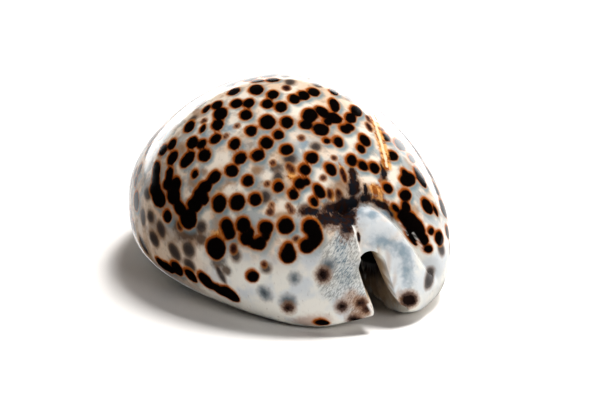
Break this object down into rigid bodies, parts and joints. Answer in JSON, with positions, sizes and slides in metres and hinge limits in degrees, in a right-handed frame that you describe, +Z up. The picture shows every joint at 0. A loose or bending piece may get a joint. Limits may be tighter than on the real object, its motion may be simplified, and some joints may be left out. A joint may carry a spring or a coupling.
{
  "type": "tiger cowrie shell",
  "caption": "Glossy spotted cowrie sea shell, an inflated egg shape with a toothed mouth along its base and a canal at each end.",
  "frame": {"origin": "middle of the shell's box, on the surface that the shell rests on", "axes": "+Z up through the arched back, +Y towards the front (narrower) end, +X towards the outer lip"},
  "size_m": [0.0586, 0.0868, 0.0407],
  "materials": {
    "enamel": "polished, spotted"
  },
  "bodies": {
    "root": {"shell": "enamel"}
  },
  "joints": []
}
